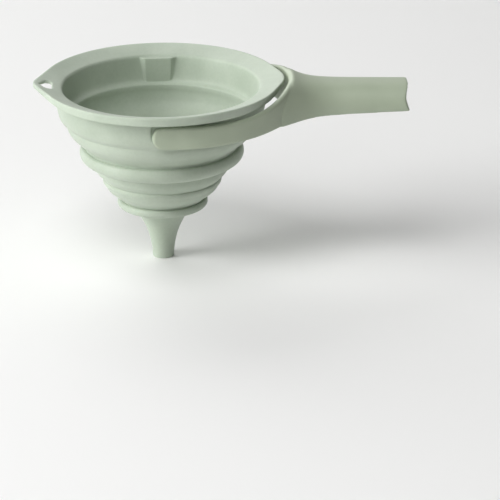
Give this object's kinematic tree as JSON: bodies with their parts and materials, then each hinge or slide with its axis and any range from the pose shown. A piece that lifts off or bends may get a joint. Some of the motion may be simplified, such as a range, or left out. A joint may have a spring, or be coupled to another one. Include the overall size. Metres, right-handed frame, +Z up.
{
  "type": "collapsible canning funnel",
  "caption": "Wide-mouth collapsible funnel with a stepped folding bowl, narrow spout, pointed rim with a hanging hole, and a rigid grip on a swinging yoke.",
  "frame": {"origin": "centre of the spout's outlet, on the funnel's axis, with the funnel open (not collapsed)", "axes": "+Z up along the funnel's axis towards the mouth; +X towards the handle's grip; the handle's hinge runs along Y"},
  "size_m": [0.2252, 0.1468, 0.114],
  "materials": {
    "silicone": "moulded silicone, matt, sage green",
    "handle_plastic": "moulded polypropylene, satin, sage green",
    "socket_plastic": "moulded nylon, plain"
  },
  "bodies": {
    "rim": {"rim_cup": "silicone", "fold_upper": "silicone", "pivot_socket_front": "socket_plastic", "pivot_socket_back": "socket_plastic"},
    "upper_ring": {"ring_upper": "silicone", "fold_middle": "silicone"},
    "middle_ring": {"ring_middle": "silicone", "fold_lower": "silicone"},
    "spout": {"spout": "silicone"},
    "handle": {"handle": "handle_plastic"}
  },
  "joints": [
    {"name": "upper_fold", "type": "slide", "parent": "rim", "child": "upper_ring", "axis": [0, 0, 1], "range_m": [0, 0.028], "deforming": ["fold_upper"]},
    {"name": "middle_fold", "type": "slide", "parent": "upper_ring", "child": "middle_ring", "axis": [0, 0, 1], "range_m": [0, 0.016], "deforming": ["fold_middle"]},
    {"name": "lower_fold", "type": "slide", "parent": "middle_ring", "child": "spout", "axis": [0, 0, 1], "range_m": [0, 0.014], "deforming": ["fold_lower"]},
    {"name": "handle_pivot", "type": "hinge", "parent": "rim", "child": "handle", "pos_m": [0, 0, 0.0977], "axis": [0, 1, 0], "range_deg": [0, 70]}
  ]
}
